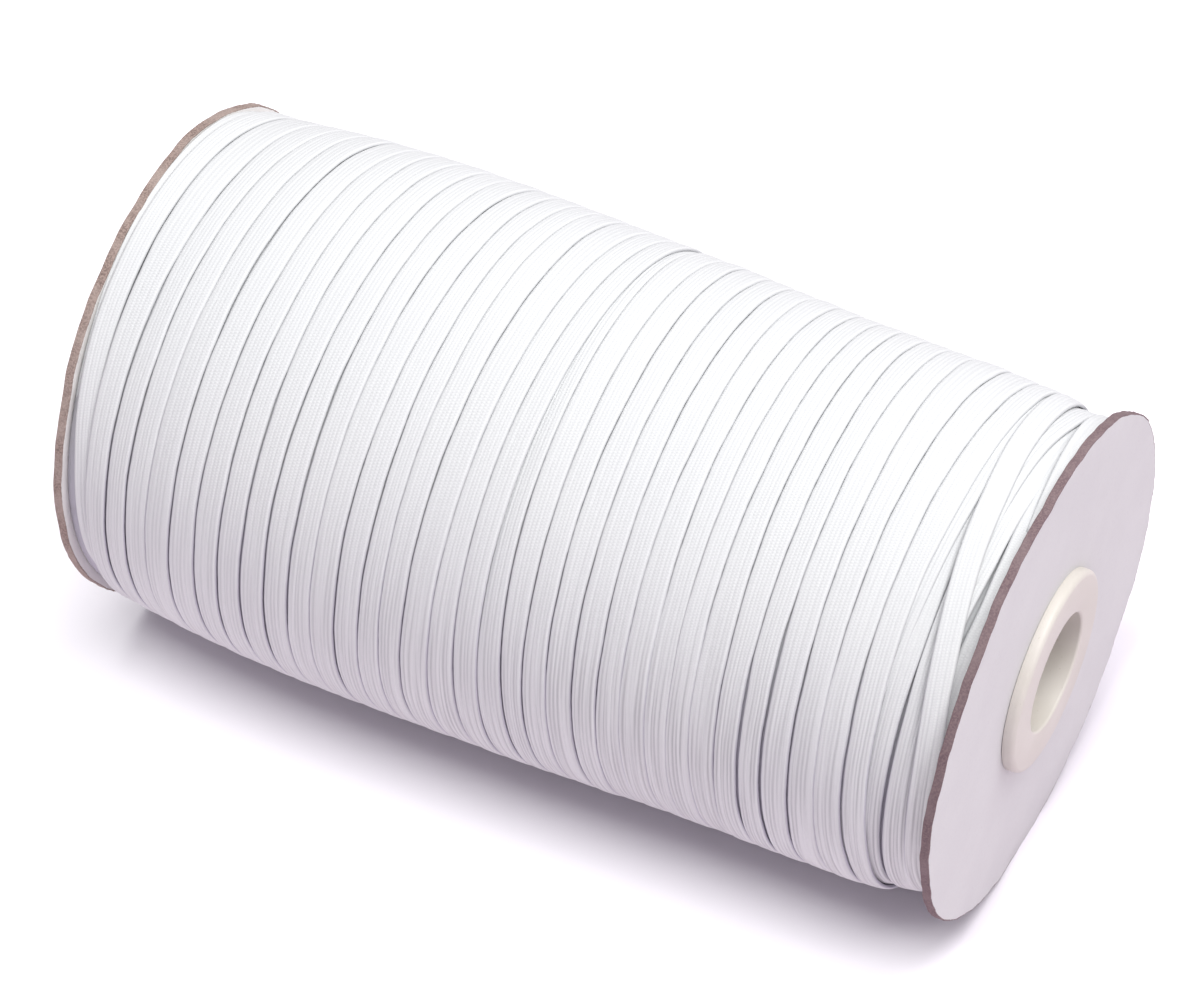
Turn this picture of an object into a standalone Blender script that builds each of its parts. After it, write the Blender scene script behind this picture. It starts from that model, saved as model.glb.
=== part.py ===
"""Roll of flat elastic, wound on a card tube between two card discs with plastic hubs.

The roll lies on its side: its axis runs along X, the floor is z = 0.
"""
import math

import bpy

# Clearance between neighbouring pieces
GAP = 0.0003

# Card discs
DISC_RADIUS = 0.055
DISC_THICKNESS = 0.0019
DISC_EDGE = 0.0004
FACE_SPAN = 0.2015          # outer face of one disc to outer face of the other
FLAT_RADIUS = 0.024         # the card stays flat out to here, under the hub's collar
REST_CUT = 0.0004           # how much of the rim is worn flat where the roll lies
DISC_STEPS = 64

# How far each card leans out at its rim, for a rim point at +Y and one at +Z
RIM_LEAN = {
    "left": (-0.0011, -0.0011),
    "right": (0.0011, 0.0),
}

# Plastic hubs
BORE_RADIUS = 0.01285
SLEEVE_RADIUS = 0.0154
SLEEVE_LENGTH = 0.030
COLLAR_RADIUS = 0.0219
COLLAR_HEIGHT = 0.0023
COLLAR_ROUND = 0.0011
MOUTH_ROUND = 0.0016
HUB_STEPS = 40

# Card tube that the elastic is wound on
TUBE_WALL = 0.0023
TUBE_STEPS = 40

# Wound elastic
TURNS = 37
TURN_DEPTH = 0.0007         # groove between two turns
TURN_SHOULDER = 0.16        # share of a turn's width taken by each rounded edge
TURN_UNEVEN = 0.00025       # how much a turn may stand above or below its neighbours
UNEVEN_STEP = 2.3           # radians of that unevenness from one turn to the next
WINDING_STEPS = 36
END_CLEARANCE = 0.0005
END_INSET = 0.0006          # the outer turns stay this much further from the card
LEAN_REACH = 0.016          # length of winding that follows a leaning card
MEETING_HALF = 0.012        # half the stretch where the two slopes of turns meet
SLOPE_FADE = 0.010          # length over which the turns square up to a card
STEP_BACK_START = 230.0     # degrees, underneath, where a sloping turn steps back
STEP_BACK_SPAN = 80.0

# Shape of the wound body: place along the axis, radius of the outer turns
WINDING_FORM = (
    (-0.0985, 0.0522),
    (-0.0960, 0.0541),
    (-0.0880, 0.0551),
    (-0.0660, 0.0571),
    (-0.0440, 0.0576),
    (-0.0165, 0.0570),
    (0.0110, 0.0562),
    (0.0385, 0.0548),
    (0.0660, 0.0544),
    (0.0825, 0.0537),
    (0.0935, 0.0514),
    (0.0985, 0.0497),
)

# Worked out from the sizes above
AXIS_HEIGHT = DISC_RADIUS - REST_CUT
FACE_X = FACE_SPAN / 2
INNER_FACE_X = FACE_X - DISC_THICKNESS
TUBE_INNER = SLEEVE_RADIUS + GAP
TUBE_OUTER = TUBE_INNER + TUBE_WALL
WINDING_INNER = TUBE_OUTER + GAP
WINDING_END = INNER_FACE_X - END_CLEARANCE
WINDING_RIM = WINDING_END - END_INSET
TURN_PITCH = 2 * WINDING_RIM / TURNS


def clear_scene():
    for item in list(bpy.data.objects):
        bpy.data.objects.remove(item, do_unlink=True)


def make_material(name, colour, roughness):
    material = bpy.data.materials.new(name)
    material.use_nodes = True
    shader = material.node_tree.nodes["Principled BSDF"]
    shader.inputs["Base Color"].default_value = (*colour, 1.0)
    shader.inputs["Roughness"].default_value = roughness
    shader.inputs["Metallic"].default_value = 0.0
    material.diffuse_color = (*colour, 1.0)
    return material


def arc(centre_x, centre_r, radius, start, end, pieces):
    """Points (x, radius) of an arc in the profile plane, both ends included."""
    points = []
    for step in range(pieces + 1):
        angle = math.radians(start + (end - start) * step / pieces)
        points.append((centre_x + radius * math.cos(angle), centre_r + radius * math.sin(angle)))
    return points


def turned(name, profile, steps, material, collection):
    """Turn a closed profile of (x, radius) points about the X axis.

    The profile runs towards -X along its outer side.
    """
    mesh = bpy.data.meshes.new(name)
    edges = [(index, (index + 1) % len(profile)) for index in range(len(profile))]
    mesh.from_pydata([(x, 0.0, radius) for x, radius in profile], edges, [])
    piece = bpy.data.objects.new(name, mesh)
    collection.objects.link(piece)
    screw = piece.modifiers.new("turn", "SCREW")
    screw.axis = "X"
    screw.angle = math.tau
    screw.steps = steps
    screw.render_steps = steps
    screw.use_merge_vertices = True
    screw.merge_threshold = 0.00001
    screw.use_smooth_shade = True
    mesh.materials.append(material)
    return piece


def settle_mesh(piece, rule):
    """Make the turned shape a plain mesh and move each of its points by a rule."""
    view = bpy.context.evaluated_depsgraph_get()
    mesh = bpy.data.meshes.new_from_object(piece.evaluated_get(view))
    mesh.name = piece.name
    piece.modifiers.clear()
    piece.data = mesh
    for vertex in mesh.vertices:
        vertex.co = rule(*vertex.co)


def finish_shading(piece, angle):
    piece.data.shade_smooth()
    piece.data.set_sharp_from_angle(angle=math.radians(angle))


def rest_on_floor(z):
    """Flatten what would reach below the floor, in the roll's own height."""
    return max(z, -AXIS_HEIGHT)


def smooth_step(value):
    value = min(1.0, max(0.0, value))
    return value * value * (3.0 - 2.0 * value)


def disc_lean(side, y, z):
    """How far the card at one end is out of its plane at a point."""
    radius = math.hypot(y, z)
    if radius <= FLAT_RADIUS:
        return 0.0
    share = (radius - FLAT_RADIUS) / (DISC_RADIUS - FLAT_RADIUS)
    lean_y, lean_z = RIM_LEAN[side]
    return share * (lean_y * y + lean_z * z) / radius


def form_slope(row):
    """Slope of the wound body's outline at one row of its table."""
    low_x, low_r = WINDING_FORM[max(row - 1, 0)]
    high_x, high_r = WINDING_FORM[min(row + 1, len(WINDING_FORM) - 1)]
    return (high_r - low_r) / (high_x - low_x)


def winding_radius(x):
    """Radius of the outer turns at a place along the axis, on one smooth curve."""
    x = min(WINDING_FORM[-1][0], max(WINDING_FORM[0][0], x))
    row = 0
    while x > WINDING_FORM[row + 1][0]:
        row += 1
    low_x, low_r = WINDING_FORM[row]
    high_x, high_r = WINDING_FORM[row + 1]
    width = high_x - low_x
    share = (x - low_x) / width
    rise = smooth_step(share)
    bend_low = share * (1.0 - share) ** 2 * width * form_slope(row)
    bend_high = share ** 2 * (share - 1.0) * width * form_slope(row + 1)
    return low_r + (high_r - low_r) * rise + bend_low + bend_high


def turn_slope(angle):
    """Share of a pitch by which a turn has travelled at an angle round the roll."""
    angle = (angle - STEP_BACK_START - STEP_BACK_SPAN) % 360.0
    rising = 360.0 - STEP_BACK_SPAN
    half = rising / 720.0
    if angle <= rising:
        return angle / 360.0 - half
    back = smooth_step((angle - rising) / STEP_BACK_SPAN)
    return half - 2.0 * half * back


def winding_profile():
    """Outer stations from right to left, each turn with two shoulders and a groove."""
    profile = [(WINDING_END, WINDING_INNER)]
    for turn in range(TURNS, 0, -1):
        right_edge = -WINDING_RIM + turn * TURN_PITCH
        uneven = TURN_UNEVEN * math.sin(UNEVEN_STEP * turn)
        profile.append((right_edge, winding_radius(right_edge) - TURN_DEPTH))
        for share in (TURN_SHOULDER, 1.0 - TURN_SHOULDER):
            x = right_edge - share * TURN_PITCH
            profile.append((x, winding_radius(x) + uneven))
    profile.append((-WINDING_RIM, winding_radius(-WINDING_RIM) - TURN_DEPTH))
    profile.append((-WINDING_END, WINDING_INNER))
    return profile


def wind(x, y, z):
    """Slope the turns, let the ends follow the cards, and flatten the underside."""
    radius = math.hypot(y, z)
    if radius < WINDING_INNER + GAP:
        return x, y, z
    height = radius - winding_radius(x)
    angle = math.degrees(math.atan2(z, y))
    meeting = min(1.0, max(-1.0, x / MEETING_HALF))
    squared = smooth_step((WINDING_RIM - abs(x)) / SLOPE_FADE)
    moved = x + meeting * squared * TURN_PITCH * turn_slope(angle)
    side = "right" if x > 0 else "left"
    near_card = smooth_step(1.0 - (WINDING_RIM - abs(x)) / LEAN_REACH)
    moved += near_card * disc_lean(side, y, z)
    scale = (winding_radius(moved) + height) / radius
    return moved, y * scale, rest_on_floor(z * scale)


def disc_profile(side):
    """Section of a card disc with its edge corners eased."""
    high_x = FACE_X if side == "right" else -INNER_FACE_X
    low_x = high_x - DISC_THICKNESS
    hole = SLEEVE_RADIUS + GAP
    middle = (FLAT_RADIUS + DISC_RADIUS) / 2
    rim = DISC_RADIUS - DISC_EDGE
    rising = [(high_x, hole), (high_x, FLAT_RADIUS), (high_x, middle), (high_x, rim)]
    crown = [(high_x - DISC_EDGE, DISC_RADIUS), (low_x + DISC_EDGE, DISC_RADIUS)]
    falling = [(low_x, rim), (low_x, middle), (low_x, FLAT_RADIUS), (low_x, hole)]
    return rising + crown + falling


def make_disc(side, material, collection):
    def lean(x, y, z):
        return x + disc_lean(side, y, z), y, rest_on_floor(z)

    disc = turned(f"disc_{side}", disc_profile(side), DISC_STEPS, material, collection)
    settle_mesh(disc, lean)
    finish_shading(disc, 35)
    return disc


def hub_profile():
    """Section of the right hub: a rounded collar outside the card and a sleeve inside."""
    collar_back = FACE_X + GAP
    collar_face = collar_back + COLLAR_HEIGHT
    sleeve_end = collar_face - SLEEVE_LENGTH
    mouth = arc(collar_face - MOUTH_ROUND, BORE_RADIUS + MOUTH_ROUND, MOUTH_ROUND, -90, 0, 3)
    edge = arc(collar_face - COLLAR_ROUND, COLLAR_RADIUS - COLLAR_ROUND, COLLAR_ROUND, 0, 90, 3)
    back = [(collar_back, COLLAR_RADIUS), (collar_back, SLEEVE_RADIUS)]
    sleeve = [(sleeve_end, SLEEVE_RADIUS), (sleeve_end, BORE_RADIUS)]
    return mouth + edge + back + sleeve


def make_hub(side, material, collection):
    hub = turned(f"hub_{side}", hub_profile(), HUB_STEPS, material, collection)
    settle_mesh(hub, lambda x, y, z: (x, y, z))
    if side == "left":
        hub.rotation_euler.z = math.pi
    finish_shading(hub, 40)
    return hub


def make_tube(material, collection):
    end = INNER_FACE_X - GAP
    profile = [(end, TUBE_INNER), (end, TUBE_OUTER), (-end, TUBE_OUTER), (-end, TUBE_INNER)]
    tube = turned("core_tube", profile, TUBE_STEPS, material, collection)
    settle_mesh(tube, lambda x, y, z: (x, y, z))
    finish_shading(tube, 40)
    return tube


def make_winding(material, collection):
    winding = turned("winding", winding_profile(), WINDING_STEPS, material, collection)
    settle_mesh(winding, wind)
    finish_shading(winding, 50)
    return winding


def main():
    clear_scene()
    parts = bpy.data.collections.new("roll_of_elastic")
    bpy.context.scene.collection.children.link(parts)

    elastic = make_material("white_elastic", (0.90, 0.90, 0.93), 0.75)
    card = make_material("white_faced_card", (0.80, 0.77, 0.82), 0.80)
    plastic = make_material("cream_plastic", (0.90, 0.87, 0.81), 0.40)
    brown_card = make_material("brown_tube_card", (0.52, 0.45, 0.40), 0.90)

    roll = bpy.data.objects.new("roll_axis", None)
    roll.location.z = AXIS_HEIGHT
    parts.objects.link(roll)

    pieces = [
        make_winding(elastic, parts),
        make_tube(brown_card, parts),
        make_disc("left", card, parts),
        make_disc("right", card, parts),
        make_hub("left", plastic, parts),
        make_hub("right", plastic, parts),
    ]
    for piece in pieces:
        piece.parent = roll
    bpy.context.view_layer.update()


main()
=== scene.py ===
# %% [markdown]
# # A roll of flat elastic
#
# The roll is one long white braid, about 5 mm wide, wound side by side between two card discs.
# It lies on its side. Its axis runs along X, and the floor is z = 0.
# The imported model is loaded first, because every piece below takes its size and place from it.

import math

import bpy
import numpy as np
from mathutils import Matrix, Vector


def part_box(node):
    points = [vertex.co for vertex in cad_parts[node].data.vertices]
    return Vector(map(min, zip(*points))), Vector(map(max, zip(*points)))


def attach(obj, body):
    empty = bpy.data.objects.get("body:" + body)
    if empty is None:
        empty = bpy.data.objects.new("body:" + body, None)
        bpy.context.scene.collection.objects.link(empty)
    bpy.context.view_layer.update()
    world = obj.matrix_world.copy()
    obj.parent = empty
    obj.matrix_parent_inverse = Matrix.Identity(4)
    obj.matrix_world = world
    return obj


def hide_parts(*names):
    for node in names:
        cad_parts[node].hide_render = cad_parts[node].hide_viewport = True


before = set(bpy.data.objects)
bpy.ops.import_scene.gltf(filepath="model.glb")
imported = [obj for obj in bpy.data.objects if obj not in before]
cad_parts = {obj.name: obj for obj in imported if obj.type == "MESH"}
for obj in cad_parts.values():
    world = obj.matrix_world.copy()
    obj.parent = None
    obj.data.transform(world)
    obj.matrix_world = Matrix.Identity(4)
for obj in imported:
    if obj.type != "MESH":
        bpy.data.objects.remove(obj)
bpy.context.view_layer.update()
print("nodes:", sorted(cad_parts))

# %% [markdown]
# ## Sizes read from the model
#
# All the pieces turn about one axis, so their points are read as a place along it (x) and
# a distance from it. The axis height comes from a disc's box: it is round but for a small flat
# worn on its rim, so its top is one radius above the axis.

# %% Measure the axis, the discs and the hubs
MM = 0.001

low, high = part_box("disc_right")
DISC_RADIUS = (high - low).y / 2
AXIS_HEIGHT = high.z - DISC_RADIUS


def node_cloud(node):
    """The points of a node of the model, with their height taken from the axis."""
    points = np.array([vertex.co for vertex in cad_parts[node].data.vertices])
    points[:, 2] -= AXIS_HEIGHT
    return points, np.hypot(points[:, 1], points[:, 2])


def disc_faces(node, flat_radius=24.5 * MM):
    """Where the two faces of a card lie beside its hub, nearest the roll's middle first."""
    points, radius = node_cloud(node)
    flat = points[radius < flat_radius, 0]
    return sorted((flat.min(), flat.max()), key=abs)


INNER_FACE_X, OUTER_FACE_X = disc_faces("disc_right")
HOLE_RADIUS = node_cloud("disc_right")[1].min()
print("disc radius", DISC_RADIUS, "axis height", AXIS_HEIGHT, "inner face", INNER_FACE_X)

# %% [markdown]
# The cards are not quite square to the axis: each leans a little, as a pressed-on card does.
# A plane put through the points of the rim gives that lean, towards the back and towards the top.


# %% Measure how each card leans
def card_lean(node):
    points, radius = node_cloud(node)
    rim = points[radius > DISC_RADIUS * 0.97]
    place = np.column_stack([rim[:, 1], rim[:, 2], np.ones(len(rim))])
    fit = np.linalg.lstsq(place, rim[:, 0], rcond=None)[0]
    return fit[:2] * DISC_RADIUS


LEFT, RIGHT = -1, 1
LEAN = {LEFT: card_lean("disc_left"), RIGHT: card_lean("disc_right")}
LEAN_START = 24 * MM


def lean_at(side, y, z):
    """How far a card is pushed along the axis at a point (y, z) measured from the axis."""
    radius = np.maximum(np.hypot(y, z), 1e-9)
    share = np.clip((radius - LEAN_START) / (DISC_RADIUS - LEAN_START), 0, None)
    return share * (LEAN[side][0] * y + LEAN[side][1] * z) / radius


print("lean of the cards:", LEAN)

# %% [markdown]
# ## A smooth curve through a few rows
#
# Many things here change slowly along the roll or round it: the radius of the wound body, the
# path of a turn, the way it rises over its neighbour. Each is a short table of rows, and this
# helper reads a smooth curve through them, so that no kink shows between two rows.


# %% Read a smooth curve
def row_slopes(place, value):
    """Slope at each row, gentle enough that the curve never swings past a row."""
    steps = np.diff(value) / np.diff(place)
    before, after = steps[:-1], steps[1:]
    same_way = before * after > 0
    inner = np.where(same_way, 2 * before * after / np.where(same_way, before + after, 1), 0)
    return np.concatenate([steps[:1], inner, steps[-1:]])


def smooth_path(at, rows):
    """Value at a place, on a smooth curve through rows of (place, value)."""
    place, value = np.array(rows, float).T
    slope = row_slopes(place, value)
    row = np.clip(np.searchsorted(place, at) - 1, 0, len(place) - 2)
    width = place[row + 1] - place[row]
    share = np.clip((at - place[row]) / width, 0, 1)
    ease = share * share * (3 - 2 * share)
    bend = width * share * (1 - share) * (slope[row] * (1 - share) - slope[row + 1] * share)
    return value[row] + (value[row + 1] - value[row]) * ease + bend


def ease_between(at, start, end):
    share = np.clip((at - start) / (end - start), 0, 1)
    return share * share * (3 - 2 * share)


# %% [markdown]
# ## Camera and light
#
# The camera stands well away from the roll with a long lens, looking down on it from its front
# right, so that the far end is hardly smaller than the near one.
# The light is a white studio: a dim even sky and one large soft box overhead, a little behind and
# to the right. The top of the winding is then nearly white and its front falls off to grey.
# A weak box on the right shows the relief of the turns and reaches into the bore, and a small one
# low in front of the left end lifts the shade there. The last lights the floor alone, as a lit
# sweep of white paper does, so that only the space under the roll stays in shadow.

# %% Set the camera
CAMERA_PLACE = (0.2855, -0.5607, 0.7296)
CAMERA_AZIMUTH = 27.01
CAMERA_DOWN = 46.98
CAMERA_LENS = 132.26

bpy.ops.object.camera_add(
    location=CAMERA_PLACE,
    rotation=(math.radians(90 - CAMERA_DOWN), 0, math.radians(CAMERA_AZIMUTH)),
)
camera = bpy.context.object
camera.data.sensor_width = 36
camera.data.lens = CAMERA_LENS
camera.data.clip_start = 0.05
camera.data.clip_end = 20
bpy.context.scene.camera = camera
bpy.context.scene.view_settings.view_transform = "Standard"

# %% Set the light
SKY_COLOUR = (0.97, 0.96, 1.0)
SKY_STRENGTH = 0.51
LIGHT_AIM = Vector((0, 0, 0.05))

# Name, place, width, power and colour
SOFT_BOXES = (
    ("top_box", (0.40, 0.16, 1.50), 0.8, 19.1, (1.0, 0.995, 0.985)),
    ("side_box", (1.0, -0.3, 1.25), 0.45, 3.8, (1.0, 0.985, 0.96)),
    ("end_box", (-0.32, -0.36, 0.16), 0.2, 0.15, (1.0, 1.0, 0.99)),
    ("floor_box", (-0.10, -0.50, 1.45), 0.6, 21.0, (0.955, 1.0, 0.93)),
)

world = bpy.context.scene.world or bpy.data.worlds.new("studio")
bpy.context.scene.world = world
world.use_nodes = True
sky = world.node_tree.nodes["Background"]
sky.inputs["Color"].default_value = (*SKY_COLOUR, 1)
sky.inputs["Strength"].default_value = SKY_STRENGTH


def add_soft_box(name, place, width, power, colour):
    """A square soft box that faces the roll."""
    bpy.ops.object.light_add(type="AREA", location=place)
    light = bpy.context.object
    light.name = name
    light.data.size = width
    light.data.energy = power
    light.data.color = colour
    light.rotation_euler = (LIGHT_AIM - Vector(place)).to_track_quat("-Z", "Y").to_euler()
    return light


boxes = {row[0]: add_soft_box(*row) for row in SOFT_BOXES}
boxes["end_box"].visible_camera = False
print("camera", CAMERA_PLACE, "lights", list(boxes))

# %% [markdown]
# ## Small helpers for modelling
#
# An operator acts on everything that is selected, and the loaded nodes start out selected,
# so each step first deselects all and then makes one piece active.


# %% Select, read, write and finish a piece
def only(piece):
    bpy.ops.object.select_all(action="DESELECT")
    piece.select_set(True)
    bpy.context.view_layer.objects.active = piece
    return piece


def read_points(piece):
    flat = np.empty(len(piece.data.vertices) * 3, np.float32)
    piece.data.vertices.foreach_get("co", flat)
    return flat.reshape(-1, 3).astype(float)


def write_points(piece, points):
    piece.data.vertices.foreach_set("co", points.astype(np.float32).ravel())
    piece.data.update()


def write_attribute(piece, name, kind, values):
    field = "vector" if kind == "FLOAT_VECTOR" else "value"
    attribute = piece.data.attributes.new(name, kind, "POINT")
    attribute.data.foreach_set(field, np.asarray(values, np.float32).ravel())


def select_none(kind):
    """Leave nothing selected in the active mesh, with vertices or edges as what is selected."""
    bpy.ops.object.mode_set(mode="EDIT")
    bpy.ops.mesh.select_mode(type=kind)
    bpy.ops.mesh.select_all(action="DESELECT")
    bpy.ops.object.mode_set(mode="OBJECT")


def face_outwards(piece, merge=0):
    """Merge points closer than a distance, if one is given, and turn all faces outwards."""
    only(piece)
    bpy.ops.object.mode_set(mode="EDIT")
    bpy.ops.mesh.select_all(action="SELECT")
    if merge:
        bpy.ops.mesh.remove_doubles(threshold=merge)
    bpy.ops.mesh.normals_make_consistent(inside=False)
    bpy.ops.object.mode_set(mode="OBJECT")


def finish_piece(piece, slot, material, *nodes):
    """Give a piece its material, let it ride with the roll and hide the nodes it stands for."""
    piece.data.materials.clear()
    piece.data.materials.append(material)
    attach(piece, "root")
    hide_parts(*nodes)
    print(piece.name, len(piece.data.polygons), "faces")


# %% [markdown]
# ## Material helpers
#
# The materials are built from nodes. These helpers keep that short: they add a node and feed its
# inputs, do a sum, blend or tint a colour by a mask, read a stored value, and add a bump.


# %% Node helpers
def feed(tree, socket, value):
    """Join a socket to another one, or set its value."""
    if isinstance(value, bpy.types.NodeSocket):
        tree.links.new(value, socket)
    elif value is not None:
        socket.default_value = value


def add_node(tree, kind, settings=None, **inputs):
    """Add a node, set its own settings, and feed its inputs by name."""
    node = tree.nodes.new(kind)
    for name, value in (settings or {}).items():
        setattr(node, name, value)
    for name, value in inputs.items():
        feed(tree, node.inputs[name.replace("_", " ")], value)
    return node


def sum_node(tree, operation, first, second=0.0, third=None):
    node = add_node(tree, "ShaderNodeMath", {"operation": operation})
    for socket, value in zip(node.inputs, (first, second, third)):
        feed(tree, socket, value)
    return node.outputs[0]


def blend_colours(tree, mask, first, second):
    node = add_node(tree, "ShaderNodeMix", {"data_type": "RGBA"})
    for socket, value in ((node.inputs[0], mask), (node.inputs[6], first), (node.inputs[7], second)):
        feed(tree, socket, (*value, 1) if isinstance(value, tuple) else value)
    return node.outputs[2]


def tint(tree, colour, tone, mask, share):
    """Blend a colour towards a tone by a share of a mask."""
    return blend_colours(tree, sum_node(tree, "MULTIPLY", mask, share), colour, tone)


# %% More node helpers
def mask_between(tree, value, start, end):
    """0 at start, 1 at end, smooth between them."""
    smooth = {"interpolation_type": "SMOOTHSTEP"}
    node = add_node(tree, "ShaderNodeMapRange", smooth, Value=value, From_Min=start, From_Max=end)
    return node.outputs["Result"]


def stored(tree, name):
    """What a piece stores at its points under a name."""
    return add_node(tree, "ShaderNodeAttribute", {"attribute_name": name}).outputs


def add_bump(tree, shader, height, strength, distance):
    bump = add_node(tree, "ShaderNodeBump", Height=height, Strength=strength, Distance=distance)
    tree.links.new(bump.outputs["Normal"], shader.inputs["Normal"])


def new_material(name, roughness):
    """A material with its Principled shader, and the tree to add to."""
    material = bpy.data.materials.new(name)
    material.use_nodes = True
    tree = material.node_tree
    shader = tree.nodes["Principled BSDF"]
    shader.inputs["Roughness"].default_value = roughness
    print("material:", material.name)
    return material, tree, shader


# %% [markdown]
# ## Shared effect: grain
#
# Card, raw board and moulded plastic all show a fine uneven tone and a slightly uneven surface.
# One node group gives both from noise on the object's own coordinates, so that the pattern
# stays on the piece, and each material gives it its own grain size.


# %% Build the grain group
def build_grain_group():
    group = bpy.data.node_groups.new("grain", "ShaderNodeTree")
    for name in ("Fine Scale", "Patch Scale"):
        group.interface.new_socket(name, in_out="INPUT", socket_type="NodeSocketFloat")
    for name in ("Fine", "Patches", "Height"):
        group.interface.new_socket(name, in_out="OUTPUT", socket_type="NodeSocketFloat")
    entry = group.nodes.new("NodeGroupInput")
    leave = group.nodes.new("NodeGroupOutput")
    place = group.nodes.new("ShaderNodeTexCoord").outputs["Object"]
    fine = add_node(group, "ShaderNodeTexNoise", Vector=place, Scale=entry.outputs[0], Detail=4.0)
    patch = add_node(group, "ShaderNodeTexNoise", Vector=place, Scale=entry.outputs[1], Detail=3.0)
    height = sum_node(group, "MULTIPLY_ADD", patch.outputs[0], 0.6, fine.outputs[0])
    for source, target in zip((fine.outputs[0], patch.outputs[0], height), leave.inputs):
        group.links.new(source, target)
    return group


GRAIN = build_grain_group()


def use_grain(tree, fine_scale, patch_scale):
    scales = {"Fine_Scale": fine_scale, "Patch_Scale": patch_scale}
    return add_node(tree, "ShaderNodeGroup", {"node_tree": GRAIN}, **scales).outputs


# %% [markdown]
# ## Finish of the elastic
#
# The braid has six lengthwise cords, each wrapped in fine white yarn whose picks cross it every
# 0.6 mm. The pattern follows the ribbon, not the room: each point of a ribbon stores how far it
# is across the width, how far along the length, and how deep it is below the cords' crowns.
# Deep between two turns the depth tints the yarn grey: that is painted shade, darker and more
# mauve low on the roll. The ribbon's edges are painted a little lighter, a painted highlight
# beside each line, and the valleys between the cords a little darker, as painted shade. Low on
# the roll the grooves between the cords carry more painted shade in long streaks, least at the
# left end.

# %% Build the braid group
RIBBON_WIDTH = 5.0 * MM
RIBBON_THICKNESS = 0.95 * MM
CORDS = 6
CORD_PITCH = RIBBON_WIDTH / CORDS
PICK_LENGTH = 0.62 * MM


def stretched(group, vector, scale):
    """The same coordinates with another scale on each axis."""
    node = add_node(group, "ShaderNodeVectorMath", {"operation": "MULTIPLY"})
    for socket, value in zip(node.inputs, (vector, scale)):
        feed(group, socket, value)
    return node.outputs[0]


def build_braid_group():
    group = bpy.data.node_groups.new("braid", "ShaderNodeTree")
    group.interface.new_socket("Ribbon", in_out="INPUT", socket_type="NodeSocketVector")
    for name in ("Cord", "Pick", "Lint", "Streak", "Height"):
        group.interface.new_socket(name, in_out="OUTPUT", socket_type="NodeSocketFloat")
    entry = group.nodes.new("NodeGroupInput")
    leave = group.nodes.new("NodeGroupOutput")
    across, along, _ = add_node(group, "ShaderNodeSeparateXYZ", Vector=entry.outputs[0]).outputs
    cord_turn = sum_node(group, "MULTIPLY", across, math.tau / CORD_PITCH)
    cord = sum_node(group, "MULTIPLY_ADD", sum_node(group, "COSINE", cord_turn), -0.5, 0.5)
    number = sum_node(group, "FLOOR", sum_node(group, "DIVIDE", across, CORD_PITCH))
    shift = sum_node(group, "MULTIPLY", number, math.pi)
    pick_turn = sum_node(group, "MULTIPLY_ADD", along, math.tau / PICK_LENGTH, shift)
    pick = sum_node(group, "MULTIPLY_ADD", sum_node(group, "SINE", pick_turn), 0.5, 0.5)
    across_yarn = stretched(group, entry.outputs[0], (5.0, 1.0, 1.0))
    lint = add_node(group, "ShaderNodeTexNoise", Vector=across_yarn, Scale=1500.0, Detail=3.0)
    along_cord = stretched(group, entry.outputs[0], (1.0, 0.015, 0.0))
    streak = add_node(group, "ShaderNodeTexNoise", Vector=along_cord, Scale=1500.0, Detail=1.5)
    ribs = sum_node(group, "MULTIPLY_ADD", pick, 0.35, sum_node(group, "MULTIPLY", cord, 0.5))
    height = sum_node(group, "MULTIPLY_ADD", lint.outputs[0], 0.35, ribs)
    sources = (cord, pick, lint.outputs[0], streak.outputs[0], height)
    for source, target in zip(sources, leave.inputs):
        group.links.new(source, target)
    return group


BRAID = build_braid_group()


# %% Build the elastic's material
def painted_groove_shade(tree, braid, x, low):
    """Painted shade in the grooves: most of all low on the roll and towards its right end."""
    left_end_mask = mask_between(tree, x, 0.03, -0.08)
    shade_along_roll = sum_node(tree, "MULTIPLY_ADD", left_end_mask, -0.50, 1.0)
    shade_share = sum_node(tree, "MULTIPLY_ADD", low, 0.84, 0.12)
    shade_share = sum_node(tree, "MULTIPLY", shade_share, shade_along_roll)
    valley = sum_node(tree, "MULTIPLY_ADD", braid["Cord"], -0.75, 1.0)
    streaks = sum_node(tree, "MULTIPLY", mask_between(tree, braid["Streak"], 0.36, 0.58), shade_share)
    return sum_node(tree, "MULTIPLY", streaks, valley)


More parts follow.
